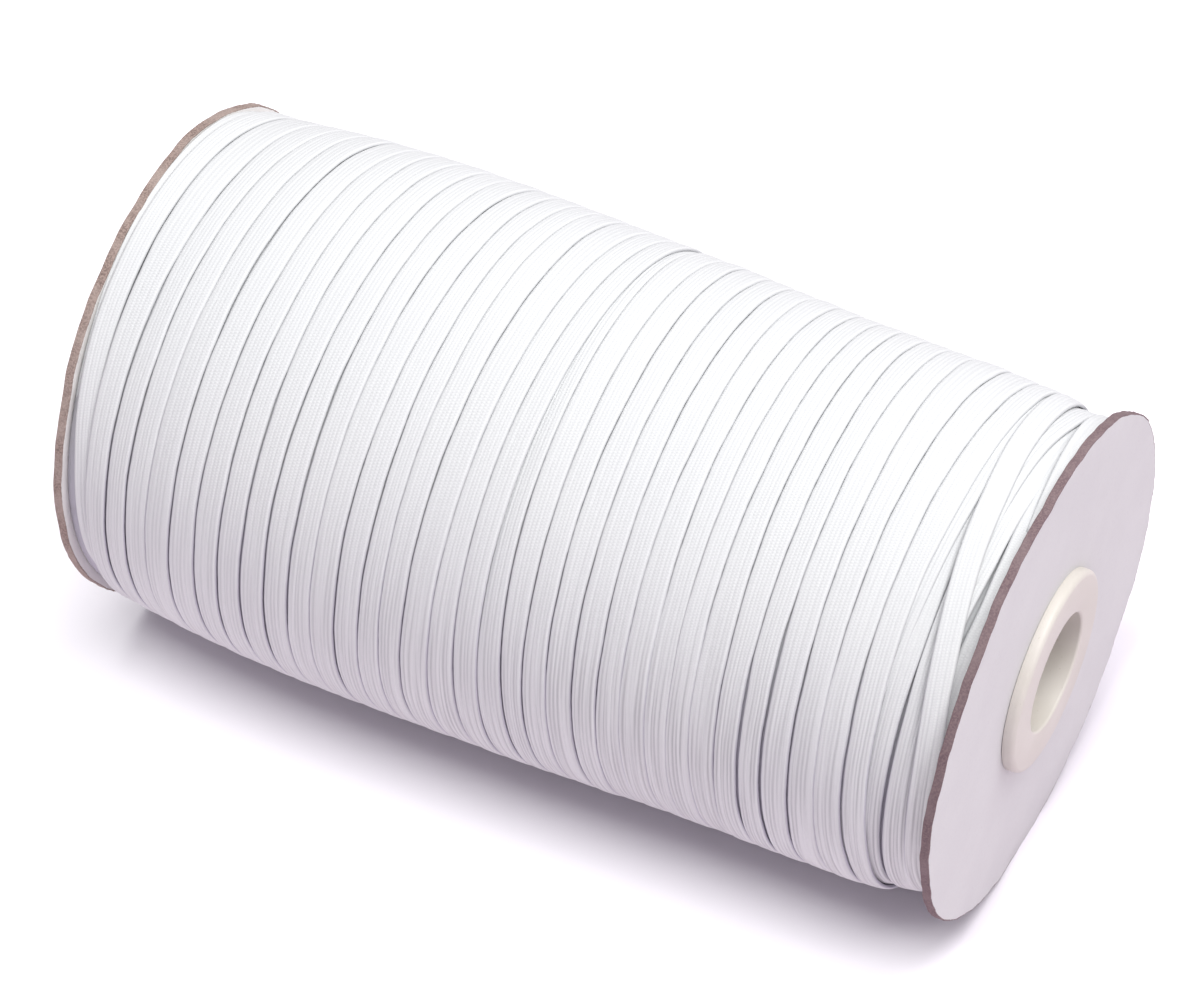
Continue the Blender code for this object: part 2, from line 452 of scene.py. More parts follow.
def build_elastic_material():
    material, tree, shader = new_material("white_braid", 0.82)
    ribbon = stored(tree, "ribbon")["Vector"]
    across, _, depth = add_node(tree, "ShaderNodeSeparateXYZ", Vector=ribbon).outputs
    place = tree.nodes.new("ShaderNodeTexCoord").outputs["Object"]
    x, _, height = add_node(tree, "ShaderNodeSeparateXYZ", Vector=place).outputs
    low = mask_between(tree, height, 0.096, 0.056)
    braid = add_node(tree, "ShaderNodeGroup", {"node_tree": BRAID}, Ribbon=ribbon).outputs
    patches = use_grain(tree, 700.0, 25.0)["Patches"]
    lint = mask_between(tree, braid["Lint"], 0.55, 0.75)
    edge = sum_node(tree, "ABSOLUTE", across)
    painted_edge_highlight = mask_between(tree, edge, RIBBON_WIDTH * 0.42, RIBBON_WIDTH * 0.46)
    # Painted shade: the valleys between the cords are painted a little darker than their crowns.
    colour = blend_colours(tree, braid["Cord"], (0.750, 0.762, 0.770), (0.782, 0.795, 0.797))
    # Painted shade in the grooves between the cords, in long streaks, low on the roll and least at the
    # left end.
    painted_shade_mask = painted_groove_shade(tree, braid, x, low)
    colour = blend_colours(tree, painted_shade_mask, colour, (0.40, 0.395, 0.415))
    colour = tint(tree, colour, (0.675, 0.685, 0.70), braid["Pick"], 0.55)
    colour = tint(tree, colour, (0.85, 0.865, 0.87), lint, 0.6)
    colour = tint(tree, colour, (0.705, 0.715, 0.735), mask_between(tree, patches, 0.40, 0.62), 0.25)
    # Painted highlight: the ribbon's edges are painted a little lighter beside each line.
    colour = tint(tree, colour, (0.93, 0.94, 0.945), painted_edge_highlight, 0.3)
    # Painted shade: deep between the turns the yarn is painted grey, darker and more mauve low on the
    # roll.
    shade = blend_colours(tree, low, (0.575, 0.585, 0.60), (0.49, 0.48, 0.55))
    colour = blend_colours(tree, mask_between(tree, depth, 0.12, 0.55), colour, shade)
    tree.links.new(colour, shader.inputs["Base Color"])
    add_bump(tree, shader, braid["Height"], 0.45, 0.00015)
    shader.inputs["Specular IOR Level"].default_value = 0.25
    shader.inputs["Sheen Weight"].default_value = 0.12
    shader.inputs["Sheen Roughness"].default_value = 0.4
    return material


elastic = build_elastic_material()

# %% [markdown]
# ## Shape of the wound body
#
# A hand-guided winder never fills a roll evenly: this one is fullest left of its middle and
# falls away beside both cards. That form is read off the model's own winding, as the crown of its
# turns at stations along the axis, and the ribbons below are laid on it.

# %% Measure the wound body
FORM_STATIONS = 27
FORM_REACH = 4.2 * MM
CROWN_ALLOWANCE = 0.15 * MM
PRESSED_GAP = 0.05 * MM


def measured_form():
    points, radius = node_cloud("winding")
    upper = points[:, 2] > 0
    x, radius = points[upper, 0], radius[upper]
    stations = np.linspace(x.min(), x.max(), FORM_STATIONS)
    crown = np.array([radius[np.abs(x - place) < FORM_REACH].max() for place in stations])
    wide = np.concatenate([crown[:1], crown, crown[-1:]])
    crown = (wide[:-2] + 2 * crown + wide[2:]) / 4 - CROWN_ALLOWANCE
    return list(zip(stations, crown))


FORM = measured_form()


def radius_down_to(drop, angle):
    """Radius at which a point lies a given drop below the axis, and a large one higher up."""
    return drop / np.maximum(-np.sin(angle), 0.2)


def form_radius(x, angle):
    """Radius of the top layer, pressed flat where the roll rests on the floor."""
    return np.minimum(smooth_path(x, FORM), radius_down_to(AXIS_HEIGHT - PRESSED_GAP, angle))


print("radius of the wound body from", min(r for _, r in FORM), "to", max(r for _, r in FORM))

# %% [markdown]
# ## Section of the ribbon
#
# Seen end on, the ribbon is a flat strip with six low round cords on top, and it rolls off at
# both edges, so that a soft shade lies along every line between two turns.
# Each cord takes four points, which smooth shading rounds off. The rest of the section is hidden,
# so it has only the points that keep its edges round.

# %% Draw the ribbon's section
CORD_DEPTH = 0.055 * MM
CORD_VALLEYS = (0.4, 0.5, 1.4, 0.6, 1.5, 0.5, 0.4)     # how deep each line between cords is
EDGE_DROP = 0.29 * MM
CORD_POINTS = 4
TOP_SHARE = 0.94


def ribbon_outline():
    """Rows of (share of the width, height below the cords' crowns), closed."""
    edge = (1 - TOP_SHARE) / 2
    outline = []
    for point in range(CORDS * CORD_POINTS + 1):
        share = point / (CORDS * CORD_POINTS)
        valley = 0.5 + 0.5 * math.cos(math.tau * CORDS * share)
        valley *= CORD_VALLEYS[round(CORDS * share)]
        roll_off = abs(2 * share - 1) ** 6
        outline.append((edge + TOP_SHARE * share, -CORD_DEPTH * valley - EDGE_DROP * roll_off))
    outline += [(1.0, -0.50 * RIBBON_THICKNESS), (1.0, -0.75 * RIBBON_THICKNESS)]
    outline += [(share, -RIBBON_THICKNESS) for share in (0.95, 0.7, 0.5, 0.3, 0.05)]
    outline += [(0.0, -0.75 * RIBBON_THICKNESS), (0.0, -0.50 * RIBBON_THICKNESS)]
    return outline


OUTLINE = ribbon_outline()
print("points in the ribbon's section:", len(OUTLINE))

# %% [markdown]
# ## Winding a ribbon
#
# A ring of points takes the ribbon's section, and a Screw modifier winds it round the X axis.
# That gives a plain spring with room between its turns. Each of its points is then moved to its
# real place by a rule: it knows its turn, its share of the width and its height, and the rule
# says where such a point of such a turn lies on the roll. One winder so makes the regular turns
# and the odd ones that cross over others. Where a turn is squeezed narrow, so is its pattern.

# %% Wind a spring
STEPS_A_TURN = 236
SPRING_PITCH = 6.0 * MM
SPRING_RADIUS = 55.0 * MM


def turn_ring(name, ring, steps, **settings):
    """Turn a ring of (x, radius) points about the X axis."""
    bpy.ops.object.select_all(action="DESELECT")
    bpy.ops.mesh.primitive_circle_add(vertices=len(ring), radius=SPRING_RADIUS, fill_type="NOTHING")
    piece = only(bpy.context.object)
    piece.name = piece.data.name = name
    for vertex, (x, radius) in zip(piece.data.vertices, ring):
        vertex.co = (x, 0, radius)
    screw = piece.modifiers.new("turn", "SCREW")
    screw.axis = "X"
    screw.steps = screw.render_steps = steps
    screw.use_smooth_shade = True
    for setting, value in settings.items():
        setattr(screw, setting, value)
    bpy.ops.object.modifier_apply(modifier=screw.name)
    return piece


def wind_spring(name, first, last):
    """Wind the ribbon's ring, and give each point's turn, share of the width and height."""
    count, turns = len(OUTLINE), last - first
    ring = [((share - 0.5) * RIBBON_WIDTH, SPRING_RADIUS + height) for share, height in OUTLINE]
    shape = {"angle": math.tau * turns, "screw_offset": SPRING_PITCH * turns}
    piece = turn_ring(name, ring, round(turns * STEPS_A_TURN), **shape)
    rings = len(piece.data.vertices) // count
    share = np.tile([row[0] for row in OUTLINE], rings)
    height = np.tile([row[1] for row in OUTLINE], rings)
    turn = first + np.repeat(np.arange(rings), count) * turns / (rings - 1)
    drift = read_points(piece)[:, 0] - (share - 0.5) * RIBBON_WIDTH - SPRING_PITCH * (turn - first)
    assert np.abs(drift).max() < 0.01 * MM, "the spring's points are not in order"
    return piece, turn, share, height


# %% Lay a ribbon on the roll
FRONT_LINE = 135.0          # degrees from the back over the top: a whole turn ends here
FLOOR_CLEARANCE = 0.03 * MM


def angle_of(turn):
    return math.tau * turn + math.radians(FRONT_LINE)


def cap_end(piece, start, count):
    """Close one end of a wound ribbon with a face over its ring of points."""
    select_none("VERT")
    for index in range(start, start + count):
        piece.data.vertices[index].select = True
    bpy.ops.object.mode_set(mode="EDIT")
    bpy.ops.mesh.edge_face_add()
    bpy.ops.object.mode_set(mode="OBJECT")


def wind_ribbon(name, first, last, lay):
    """Wind a closed ribbon from one turn to another and lay it by a rule."""
    piece, turn, share, height = wind_spring(name, first, last)
    count = len(OUTLINE)
    cap_end(piece, 0, count)
    cap_end(piece, len(turn) - count, count)
    x, radius = lay(turn, share, height)
    angle = angle_of(turn)
    z = np.maximum(AXIS_HEIGHT + radius * np.sin(angle), FLOOR_CLEARANCE)
    write_points(piece, np.column_stack([x, radius * np.cos(angle), z]))
    face_outwards(piece)
    narrow = np.minimum(np.ptp(x.reshape(-1, count), axis=1) / (0.9 * RIBBON_WIDTH), 1)
    across = (share - 0.5) * RIBBON_WIDTH / TOP_SHARE * np.repeat(narrow, count)
    along = turn * math.tau * SPRING_RADIUS
    depth = -height / RIBBON_THICKNESS
    write_attribute(piece, "ribbon", "FLOAT_VECTOR", np.column_stack([across, along, depth]))
    return piece


# %% [markdown]
# ## Where the turns lie
#
# In the top layer the turns of the left half travel left as they go round, those of the right
# half travel right, and the two meet near the middle. So the two halves are the same thing
# mirrored: the lines between turns are numbered from the middle outwards, and a line's distance
# from the middle is one smooth function of its turn number. A few rows give that distance.

# %% Place the lines between turns
# Turn number of a line, counted at the front line, and its distance from the middle in mm
LINES = {
    LEFT: (
        (-0.45, -2.2), (-0.2, -1.6), (0, -0.2), (0.2, -0.8), (0.8, 3.3), (1, 5.1), (1.2, 4.8),
        (1.8, 8.2), (2, 10.0), (6, 31.1), (11, 58.9), (16, 86.9), (16.4, 88.6), (16.79, 92.9),
        (16.86, 93.5), (16.92, 93.3), (16.98, 92.7), (17.08, 92.2), (17.2, 92.6), (17.6, 95.0),
    ),
    RIGHT: (
        (-0.45, -2.6), (-0.2, -1.5), (0, -0.6), (0.2, 0.9), (0.82, 3.5), (0.99, 4.1), (1.17, 6.4),
        (2, 9.7), (6, 31.0), (11, 56.3), (13.4, 69.6), (13.79, 72.7), (13.93, 72.2), (14, 72.7),
        (14.15, 74.0), (14.5, 76.2), (14.79, 79.2), (14.93, 78.7), (15, 78.7), (15.1, 79.45),
        (15.2, 80.8), (15.5, 82.6), (15.82, 84.4), (15.9, 84.1), (15.96, 83.5), (16.07, 84.0),
        (16.2, 85.4), (16.6, 87.5),
    ),
}

# A winder's guide swings a little in each turn: angle in degrees, sway outwards in mm
SWAY = {
    LEFT: (
        (60, -0.5), (100, -0.2), (130, 0), (165, 0), (200, 0.5), (260, 0.2), (340, -0.3), (420, -0.5),
    ),
    RIGHT: (
        (60, 0.8), (95, 0.3), (130, 0), (165, 0.3), (200, 0.8), (260, 0.5), (340, 0.4), (420, 0.8),
    ),
}

# Slow wander of a line: cycles a turn, and how far in mm
WANDER = (
    (0.31, 0.14), (1.13, 0.12), (2.37, 0.10), (4.61, 0.06), (9.3, 0.04), (17.3, 0.03), (29.7, 0.02),
)
SIDE_SEED = {LEFT: 0, RIGHT: 50}


# %% Measure from the middle to a line
def wave(angle, waves, seed):
    """A sum of waves with chance phases, from rows of cycles a turn and size in mm."""
    phases = np.random.default_rng(seed).uniform(0, math.tau, len(waves))
    parts = [size * np.sin(cycles * angle + phase) for (cycles, size), phase in zip(waves, phases)]
    return np.sum(parts, axis=0) * MM


def degrees_round(turn):
    """Angle of a turn in degrees, from 60 to 420, so that the seen front is unbroken."""
    return (turn * 360 + FRONT_LINE - 60) % 360 + 60


def line_distance(side, turn):
    """Distance from the middle of the roll to the line between two turns."""
    plain = smooth_path(turn, LINES[side]) * MM
    calm = ease_between(turn, 0.8, 3.0)
    sway = smooth_path(degrees_round(turn), SWAY[side]) * MM
    return plain + calm * (sway + wave(math.tau * turn, WANDER, 3 + SIDE_SEED[side]))


print("outermost lines at", line_distance(LEFT, 16), line_distance(RIGHT, 16))

# %% [markdown]
# Between two turns there is hardly a gap, but here and there the ribbon was laid a little away
# from its neighbour, and a dark slot shows, and elsewhere it was laid over its neighbour's edge.
# These places are a short table. On every line a slow wave opens and closes the gap a little.

# %% Place the open gaps
# Line from the middle, from and to in degrees, and width in mm: below zero the edges overlap
OPEN_GAPS = {
    LEFT: (
        (0, 150, 215, 0.16), (1, 175, 200, 0.12), (2, 60, 215, -0.06), (3, 135, 200, 0.12),
        (4, 60, 215, -0.05), (5, 138, 172, 0.18), (5, 180, 215, -0.12), (6, 145, 192, 0.24),
        (7, 112, 215, -0.08), (8, 128, 176, 0.30), (9, 134, 190, 0.24), (10, 136, 190, 0.34),
        (11, 130, 192, 0.22), (12, 118, 202, 0.18), (13, 104, 118, 0.20), (13, 142, 186, 0.20),
        (14, 118, 215, -0.14), (15, 146, 198, 0.24), (16, 84, 94, 0.16), (16, 122, 196, 0.32),
    ),
    RIGHT: (
        (1, 140, 204, 0.20), (2, 146, 186, 0.16), (3, 150, 166, 0.14), (3, 178, 215, -0.10),
        (4, 148, 208, 0.22), (5, 152, 172, 0.14), (5, 180, 215, -0.12), (6, 130, 160, -0.06),
        (6, 172, 215, -0.35), (7, 152, 215, -0.35), (8, 148, 215, -0.35), (9, 156, 215, -0.35),
        (10, 60, 178, 0.06), (10, 192, 215, -0.20), (11, 158, 190, 0.50), (12, 146, 202, 0.50),
        (13, 150, 190, 0.28), (14, 155, 215, -0.30), (15, 148, 200, 0.40),
    ),
}
PLAIN_GAP = 0.07 * MM
MOST_OVERLAP = 0.3 * MM
GAP_WAVES = (
    (0.43, 0.012), (1.61, 0.012), (3.1, 0.015), (10.7, 0.02), (23.3, 0.02), (71.3, 0.02), (97.7, 0.02),
)
GAP_FADE = 14.0             # degrees over which an open gap closes


def gap_width(side, turn):
    """Width of the slot on a line."""
    waves = [size * np.sin(math.tau * rate * turn + 2 * rate + side) for rate, size in GAP_WAVES]
    width = PLAIN_GAP + np.sum(waves, axis=0) * MM
    angle = degrees_round(turn)
    for line, start, end, size in OPEN_GAPS[side]:
        opened = ease_between(angle, start - GAP_FADE, start)
        closed = ease_between(angle, end, end + GAP_FADE)
        width = width + (np.abs(turn - line) < 0.5) * opened * (1 - closed) * size * MM
    return np.maximum(width, -MOST_OVERLAP)


# %% [markdown]
# ## Laying the regular turns
#
# A point of a turn lies between the turn's two lines by its share of the width. Its radius is
# that of the wound body, with three small things added: each turn stands a little above or below
# its neighbour, it tips a little to one side, and it dives into the body where a table says so,
# which is how the two halves start under each other and how the last turns end.

# %% Lay the regular turns
RISE_WAVES = ((0.47, 0.045), (1.29, 0.045), (2.71, 0.035))
TIP_WAVES = ((0.53, 0.05), (1.83, 0.05), (3.3, 0.02))

# Turn number, depth of the near edge and of the far edge below the top layer, in mm
DIVES = {
    LEFT: ((-0.45, 1.1, 1.1), (-0.30, 0.1, 0.0), (-0.1, -0.25, 0), (0.2, -0.1, 0), (0.6, 0, 0),
           (15.6, 0, 0), (16.0, 0, -0.2), (16.2, 0, -0.1), (16.4, 0, 0), (16.55, 1.6, 1.6)),
    RIGHT: ((-0.45, 1.1, 1.1), (-0.2, 1.0, 0.45), (-0.1, 0.95, 0.2), (0.02, 0.75, 0.05),
            (0.12, 0.2, 0), (0.2, 0, 0), (0.6, 0, 0), (15.6, 0, 0)),
}
CARD_GAP = 0.15 * MM


def keep_off_card(x, radius, angle, side):
    """Stop a ribbon just short of the card beside it."""
    lean = lean_at(side, radius * np.cos(angle), radius * np.sin(angle))
    return side * np.minimum(side * x, INNER_FACE_X + side * lean - CARD_GAP)


def between_edges(turn, rows, share):
    """Value at a share of the width, from rows of turn, value at one edge and at the other."""
    start, end = smooth_path(turn, rows[:, [0, 1]]), smooth_path(turn, rows[:, [0, 2]])
    return (start + (end - start) * share) * MM


def lay_regular(side):
    def lay(turn, share, height):
        outward = share if side > 0 else 1 - share
        near = line_distance(side, turn) + gap_width(side, turn) / 2
        far = line_distance(side, turn + 1) - gap_width(side, turn + 1) / 2
        x = side * (near + (far - near) * outward)
        angle = angle_of(turn)
        dive = between_edges(turn, np.array(DIVES[side]), outward)
        rise = wave(math.tau * turn, RISE_WAVES, 11 + SIDE_SEED[side])
        tip = wave(math.tau * turn, TIP_WAVES, 17 + SIDE_SEED[side]) * (2 * outward - 1)
        radius = form_radius(x, angle) + height + rise + tip - dive
        return keep_off_card(x, radius, angle, side), radius

    return lay


# Name, side, first and last turn
REGULAR_PIECES = (
    ("turns_left_inner", LEFT, -0.45, 8.6), ("turns_left_outer", LEFT, 8.6, 16.55),
    ("turns_right_inner", RIGHT, -0.45, 7.6), ("turns_right_outer", RIGHT, 7.6, 15.5),
)

for name, side, first, last in REGULAR_PIECES:
    ribbon = wind_ribbon(name, first, last, lay_regular(side))
    finish_piece(ribbon, "elastic", elastic, "winding")

# %% [markdown]
# ## Turns that cross over
#
# Beside a card the winder turns back, so the last turns sweep across the ones below, and beside
# them an edge of a lower turn shows here and there: those are the pieces called "under". Each is
# laid along its own short path: the angle round the roll, the place of its middle, and how far
# its two edges stand above the top layer. Both ends dive under the layer.

# %% Lay the crossing turns
# Angle in degrees, place of the middle in mm, lift of the left and the right edge in mm
CROSSINGS = {
    "crossing_right_first": (
        (-45, 84.6, 0, 0), (0, 86.0, 0.1, 0.1), (60, 87.7, 0.2, 0.3), (80, 88.1, 0.4, 0.5),
        (97, 89.1, 0.8, 0.8), (110, 89.9, 0.9, 0.9), (120, 90.9, 0.9, 0.9), (128, 91.9, 0.9, 0.9),
        (140, 93.3, 0.9, 0.7), (152, 94.5, 0.7, 0.4), (163, 95.1, 0.4, 0), (178, 95.3, -0.1, -0.5),
        (195, 95.2, -0.6, -1.0), (230, 95.2, -1.4, -1.5),
    ),
    "under_right_edge": (
        (10, 84.6, -1.3, -1.2), (60, 85.2, -1.0, -0.3), (97, 84.3, -1.0, -0.15),
        (108, 83.8, -1.0, -0.15), (122, 83.2, -1.0, -0.3), (135, 82.6, -1.1, -0.7),
        (155, 82.0, -1.5, -1.4),
    ),
    "under_right_first": (
        (-60, 92.2, -1.2, -1.2), (-20, 92.4, -0.8, -0.4), (60, 91.7, -0.9, 0), (80, 90.4, -0.9, 0),
        (95, 89.9, -0.8, -0.1), (106, 89.7, -1.1, -0.9), (118, 89.7, -2.1, -2.1),
    ),
    "under_right_second": (
        (20, 93.9, -1.6, -1.3), (60, 93.8, -0.9, -1.1), (85, 93.5, -0.9, -1.2),
        (100, 92.8, -0.9, -0.6), (112, 92.5, -1.0, -0.5), (131, 91.25, -1.2, -0.7),
        (160, 90.4, -1.7, -1.6),
    ),
    "under_right_third": (
        (60, 97.2, -1.5, -0.9), (100, 97.3, -1.2, -0.8), (110, 97.6, -1.0, -0.8),
        (120, 97.6, -1.0, -0.9), (133, 96.8, -1.1, -0.9), (150, 96.2, -1.5, -1.2),
        (175, 95.9, -2.0, -2.0),
    ),
    "crossing_right_second": (
        (-20, 94.6, -0.4, -0.4), (20, 95.8, 0.1, 0.1), (60, 96.9, 0.6, 0.4), (70, 97.5, 0.7, 0.4),
        (82, 98.3, 0.5, 0.2), (92, 99.0, 0.1, -0.2), (102, 99.6, -0.6, -0.8),
    ),
    "under_left": (
        (-50, -97.2, -1.6, -1.6), (-10, -97.4, -1.2, -1.3), (40, -97.7, -0.7, -1.1),
        (70, -98.0, 0.5, -0.6), (105, -98.0, 0.6, -0.6), (120, -98.0, 0.1, -0.8),
        (135, -97.9, -1.0, -1.4), (150, -97.7, -1.9, -1.9),
    ),
    "crossing_left": (
        (-80, -92.4, -1.2, -1.2), (-45, -93.2, -0.3, 0), (10, -94.9, -0.4, -0.1),
        (60, -95.3, 0.6, 0.1), (75, -95.8, 0.9, 0.1), (90, -96.0, 0.8, 0), (105, -96.0, 0.8, 0),
        (120, -95.8, 0.6, -0.05), (130, -95.6, 0.4, -0.3), (150, -94.4, 0.1, -0.7),
        (165, -93.1, 0, -0.9), (180, -92.6, -0.2, -1.0), (190, -92.1, -0.3, -1.1),
        (200, -90.7, -0.7, -1.3), (225, -88.9, -1.4, -1.5),
    ),
}
CROSSING_WIDTH = RIBBON_WIDTH * 0.97


def turn_at(angle):
    return (angle - FRONT_LINE) / 360


def lay_along(rows, side):
    rows = np.array(rows, float)
    rows[:, 0] = turn_at(rows[:, 0])

    def lay(turn, share, height):
        x = smooth_path(turn, rows[:, [0, 1]]) * MM + (share - 0.5) * CROSSING_WIDTH
        angle = angle_of(turn)
        radius = form_radius(x, angle) + height + between_edges(turn, rows[:, [0, 2, 3]], share)
        return keep_off_card(x, radius, angle, side), radius

    return lay


for name, rows in CROSSINGS.items():
    side = LEFT if rows[0][1] < 0 else RIGHT
    ribbon = wind_ribbon(name, turn_at(rows[0][0]), turn_at(rows[-1][0]), lay_along(rows, side))
    finish_piece(ribbon, "elastic", elastic, "winding")

# %% [markdown]
# Where the crossing turns leave the right end, the layer below them shows. It is a few more
# regular turns, laid one ribbon lower and a little closer together.

# %% Lay the lower turns at the right end
# Turn number of a line and its distance from the middle in mm
LOWER_LINES = (
    (14.4, 75.6), (15, 78.6), (16, 83.2), (16.8, 87.4), (17, 88.0), (17.2, 87.8), (17.5, 89.5),
    (18, 92.5), (19, 97.2), (19.6, 99.5),
)

# Turn number of a line and its gap in mm
LOWER_GAPS = (
    (14.4, 0.1), (16.5, 0.1), (17.0, 0.1), (17.05, 0.7), (17.15, 0.75), (17.22, 0.8), (17.4, 0.4),
    (17.6, 0.1), (19.6, 0.1),
)

# Turn number, depth of the near edge and of the far edge below the top layer, in mm
LOWER_DEPTHS = (
    (14.4, 1, 1), (16.0, 1, 1), (16.08, 1, 1.2), (16.15, 1, 1.6), (16.22, 1, 1.7), (16.4, 1, 1),
    (19.6, 1, 1),
)


def lay_lower(turn, share, height):
    near = smooth_path(turn, LOWER_LINES) + smooth_path(turn, LOWER_GAPS) / 2
    far = smooth_path(turn + 1, LOWER_LINES) - smooth_path(turn + 1, LOWER_GAPS) / 2
    x = (near + (far - near) * share) * MM
    angle = angle_of(turn)
    depth = between_edges(turn, np.array(LOWER_DEPTHS), share)
    radius = form_radius(x, angle) + height - depth
    return keep_off_card(x, radius, angle, RIGHT), radius


lower = wind_ribbon("turns_right_lower", 14.5, 17.5, lay_lower)
finish_piece(lower, "elastic", elastic, "winding")

# %% [markdown]
# ## The layers below
#
# Through an open gap one sees the next layer down, in shade that is partly cast and partly painted.
# It would take the same ribbons again, but so little of it shows that one turned body with low
# round ridges does: a ring of points takes the outline of half a section through the roll, and a
# Screw modifier turns it.

# %% Turn the body of lower layers
BODY_DEPTH = 1.05 * MM
BODY_END_DEPTH = {LEFT: 1.7 * MM, RIGHT: 2.6 * MM}
BODY_END = {LEFT: 10.0 * MM, RIGHT: 19.0 * MM}
BODY_RIDGE = 0.25 * MM
BODY_PITCH = 5.2 * MM
BODY_RIDGE_POINTS = 4
BODY_STEPS = 160
BODY_MERGE = 0.01 * MM
TUBE_GAP = 0.3 * MM


def lower_body_outline():
    """Rows of (x, radius): along the outside from right to left, and back along the tube."""
    tube = node_cloud("core_tube")[1].max() + TUBE_GAP
    end = INNER_FACE_X - 0.5 * MM
    count = round(2 * end / BODY_PITCH) * BODY_RIDGE_POINTS
    outer = []
    for x in np.linspace(end, -end, count + 1):
        ridge = BODY_RIDGE * abs(math.sin(math.pi * x / BODY_PITCH))
        side = RIGHT if x > 0 else LEFT
        near_end = ease_between(abs(x), end - BODY_END[side], end - BODY_END[side] * 0.6)
        depth = BODY_DEPTH + (BODY_END_DEPTH[side] - BODY_DEPTH) * near_end
        outer.append((x, float(smooth_path(x, FORM)) - depth - BODY_RIDGE + ridge))
    return outer + [(-end, tube), (end, tube)]


# %% Fit the body to the floor and the cards
# The body takes the ribbon's painted shade: this depth sets how grey the lower layers are painted.
BODY_SHADE = 0.45           # how deep the ribbon's material takes it to lie

merging = {"use_merge_vertices": True, "merge_threshold": BODY_MERGE}
body = turn_ring("layers_below", lower_body_outline(), BODY_STEPS, **merging)
face_outwards(body, BODY_MERGE)
points = read_points(body)
angle = np.arctan2(points[:, 2], points[:, 1])
radius = np.hypot(points[:, 1], points[:, 2])
radius = np.minimum(radius, radius_down_to(AXIS_HEIGHT - BODY_DEPTH, angle))
x = points[:, 0]
for side in (LEFT, RIGHT):
    x = keep_off_card(x, radius, angle, side)
write_points(body, np.column_stack([x, radius * np.cos(angle), AXIS_HEIGHT + radius * np.sin(angle)]))
shade = np.full(len(x), BODY_SHADE)
write_attribute(body, "ribbon", "FLOAT_VECTOR", np.column_stack([x, angle * SPRING_RADIUS, shade]))
finish_piece(body, "elastic", elastic, "winding")

# %% [markdown]
# ## Finish of the card
#
# Each end is a round of grey-brown board with white paper on both faces. The paper is smooth and
# faintly fibrous. On the inner faces it is painted whiter, which is painted light for the light
# those faces catch. The cut edge shows the raw board, speckled, and the paper is torn back a
# little beside it. Every point of a card stores how much it belongs to that cut edge. The right
# card's board is darker than the left one's.


# %% Build the card's material
def build_card_material():
    material, tree, shader = new_material("white_faced_board", 0.7)
    grain = use_grain(tree, 1500.0, 60.0)
    coarse = use_grain(tree, 2600.0, 130.0)
    patch = mask_between(tree, grain["Patches"], 0.35, 0.65)
    fibre = mask_between(tree, grain["Fine"], 0.5, 0.75)
    paper = tint(tree, (0.655, 0.652, 0.66), (0.69, 0.69, 0.693), patch, 0.5)
    paper = tint(tree, paper, (0.58, 0.553, 0.57), fibre, 0.25)
    # Painted light: the inner faces are painted whiter than the outer ones, for the light they catch.
    paper = blend_colours(tree, stored(tree, "inner_face")["Fac"], paper, (0.87, 0.85, 0.83))
    speckle = mask_between(tree, coarse["Fine"], 0.35, 0.65)
    patch = mask_between(tree, coarse["Patches"], 0.36, 0.66)
    board = blend_colours(tree, speckle, (0.20, 0.145, 0.13), (0.40, 0.30, 0.265))
    board = tint(tree, board, (0.46, 0.375, 0.34), patch, 0.55)
    board = tint(tree, board, (0.12, 0.07, 0.105), stored(tree, "dark_board")["Fac"], 0.58)
    torn = sum_node(tree, "MULTIPLY_ADD", grain["Fine"], 0.9, stored(tree, "cut_edge")["Fac"])
    bare = mask_between(tree, torn, 0.95, 1.08)
    tree.links.new(blend_colours(tree, bare, paper, board), shader.inputs["Base Color"])
    tree.links.new(sum_node(tree, "MULTIPLY_ADD", bare, 0.25, 0.62), shader.inputs["Roughness"])
    rough = sum_node(tree, "MULTIPLY_ADD", bare, 4.0, 0.4)
    add_bump(tree, shader, sum_node(tree, "MULTIPLY", grain["Height"], rough), 0.5, 0.00006)
    return material


card = build_card_material()

# %% [markdown]
# ## The two cards
#
# A card is drawn as by hand: a ring at the hole is extruded and scaled outwards ring by ring,
# pushed through the board's thickness at the rim, brought back in the same way, and bridged at
# the hole. The rim's two corners are then bevelled. Last, the points are moved a little: the die
# leaves a wavy, slightly ragged rim, the card leans, and the rim is flat where it rests.


# %% Extrude a ring of points
def start_ring(name, x, radius, count):
    bpy.ops.object.select_all(action="DESELECT")
    bpy.ops.mesh.primitive_circle_add(
        vertices=count, radius=radius, fill_type="NOTHING",
        location=(x, 0, AXIS_HEIGHT), rotation=(0, math.pi / 2, 0),
    )
    piece = only(bpy.context.object)
    piece.name = piece.data.name = name
    bpy.ops.object.transform_apply(location=True, rotation=True, scale=True)
    bpy.ops.object.mode_set(mode="EDIT")
    bpy.ops.mesh.select_mode(type="EDGE")
    bpy.ops.mesh.select_all(action="SELECT")
    return piece


def next_ring(x, radius, last):
    """Extrude the selected ring to a new place and radius."""
    last_x, last_radius = last
    bpy.ops.mesh.extrude_region_move(TRANSFORM_OT_translate={"value": (x - last_x, 0, 0)})
    scale = radius / last_radius
    bpy.ops.transform.resize(value=(1, scale, scale), center_override=(x, 0, AXIS_HEIGHT))
    return x, radius


def draw_rings(name, rings, count):
    """Draw a closed turned piece through rows of (x, radius)."""
    piece = start_ring(name, *rings[0], count)
    last = rings[0]
    for x, radius in rings[1:]:
        last = next_ring(x, radius, last)
    bpy.ops.mesh.select_all(action="DESELECT")
    bpy.ops.mesh.select_non_manifold()
    bpy.ops.mesh.bridge_edge_loops()
    bpy.ops.object.mode_set(mode="OBJECT")
    face_outwards(piece, 0.001 * MM)
    return piece


